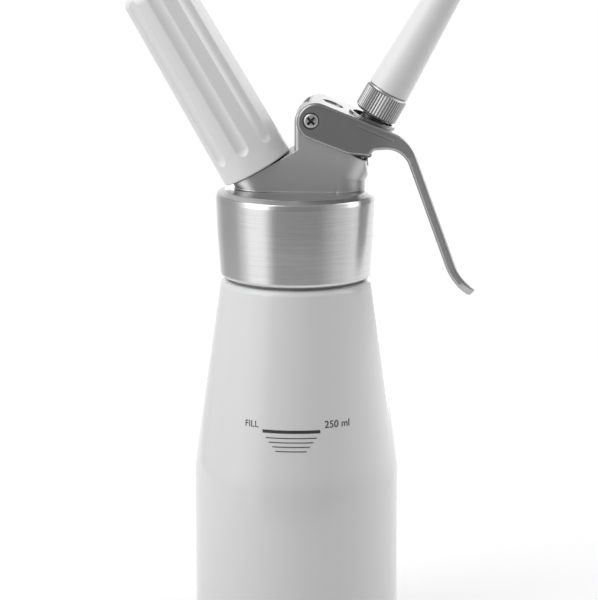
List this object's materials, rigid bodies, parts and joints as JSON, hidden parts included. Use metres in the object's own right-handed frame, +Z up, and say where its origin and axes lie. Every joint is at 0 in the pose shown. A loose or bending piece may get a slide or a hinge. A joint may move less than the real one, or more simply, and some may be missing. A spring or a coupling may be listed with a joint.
{
  "type": "cream whipper",
  "caption": "Hand-held cream whipper: tapered white bottle, screwed metal head with squeeze lever, slanted decorating nozzle and slanted gas charger holder.",
  "frame": {"origin": "centre of the bottle's foot, on the plane that it stands on", "axes": "+Z up along the bottle's axis, +X towards the lever and the nozzle, -X towards the charger holder"},
  "size_m": [0.1216, 0.0704, 0.2382],
  "materials": {
    "white_lacquer": "gloss",
    "head_metal": "satin",
    "lever_metal": "satin",
    "white_plastic": "satin",
    "polished_steel": "polished",
    "plain_steel": "satin",
    "sleeve_metal": "satin",
    "seal_rubber": "matte",
    "cage_plastic": "matte"
  },
  "bodies": {
    "bottle": {"bottle": "white_lacquer"},
    "gasket": {"head_gasket": "seal_rubber"},
    "head": {"head_body": "head_metal", "charger_port": "plain_steel", "piercing_pin": "plain_steel", "charger_seal": "seal_rubber", "check_valve": "seal_rubber", "check_valve_cage": "cage_plastic", "gland_ring": "plain_steel", "stem_o_ring": "seal_rubber", "stem_spring": "plain_steel", "pivot_screws": "polished_steel"},
    "lever": {"lever": "lever_metal"},
    "stem": {"valve_stem": "plain_steel", "push_washer": "plain_steel", "stem_seal": "seal_rubber", "seal_nut": "plain_steel"},
    "nozzle_seal": {"nozzle_gasket": "seal_rubber"},
    "nozzle": {"nozzle_adapter": "polished_steel", "nozzle_tip": "white_plastic"},
    "charger": {"gas_charger": "plain_steel"},
    "holder": {"holder_sleeve": "sleeve_metal", "holder_cover": "white_plastic"}
  },
  "joints": [
    {"name": "head_lift", "type": "slide", "parent": "bottle", "child": "gasket", "axis": [0, 0, 1], "range_m": [0, 0.012]},
    {"name": "head_unscrew", "type": "hinge", "parent": "gasket", "child": "head", "pos_m": [0, 0, 0.144], "axis": [0, 0, 1], "range_deg": [0, 1080]},
    {"name": "lever_squeeze", "type": "hinge", "parent": "head", "child": "lever", "pos_m": [0.00555, 0, 0.1784], "axis": [0, 1, 0], "range_deg": [0, 12.5]},
    {"name": "stem_press", "type": "slide", "parent": "head", "child": "stem", "axis": [-0.4924, 0, -0.8704], "range_m": [0, 0.00397], "stiffness_N_per_m": 800, "springref_m": -0.005, "deforming": ["stem_spring"]},
    {"name": "nozzle_lift", "type": "slide", "parent": "stem", "child": "nozzle_seal", "axis": [0.4924, 0, 0.8704], "range_m": [0, 0.005]},
    {"name": "nozzle_unscrew", "type": "hinge", "parent": "nozzle_seal", "child": "nozzle", "pos_m": [0.02695, 0, 0.1792], "axis": [0.4924, 0, 0.8704], "range_deg": [0, 1440]},
    {"name": "charger_lift", "type": "slide", "parent": "head", "child": "charger", "axis": [-0.5, 0, 0.866], "range_m": [0, 0.008]},
    {"name": "holder_unscrew", "type": "hinge", "parent": "charger", "child": "holder", "pos_m": [-0.0134, 0, 0.1604], "axis": [-0.5, 0, 0.866], "range_deg": [0, 1440]}
  ],
  "couplings": [
    {"joint": "head_unscrew", "follows": "head_lift", "rad_per_m": 1570.8},
    {"joint": "lever_squeeze", "follows": "stem_press", "rad_per_m": 54.945},
    {"joint": "nozzle_unscrew", "follows": "nozzle_lift", "rad_per_m": 5026.5},
    {"joint": "holder_unscrew", "follows": "charger_lift", "rad_per_m": 3141.6}
  ]
}
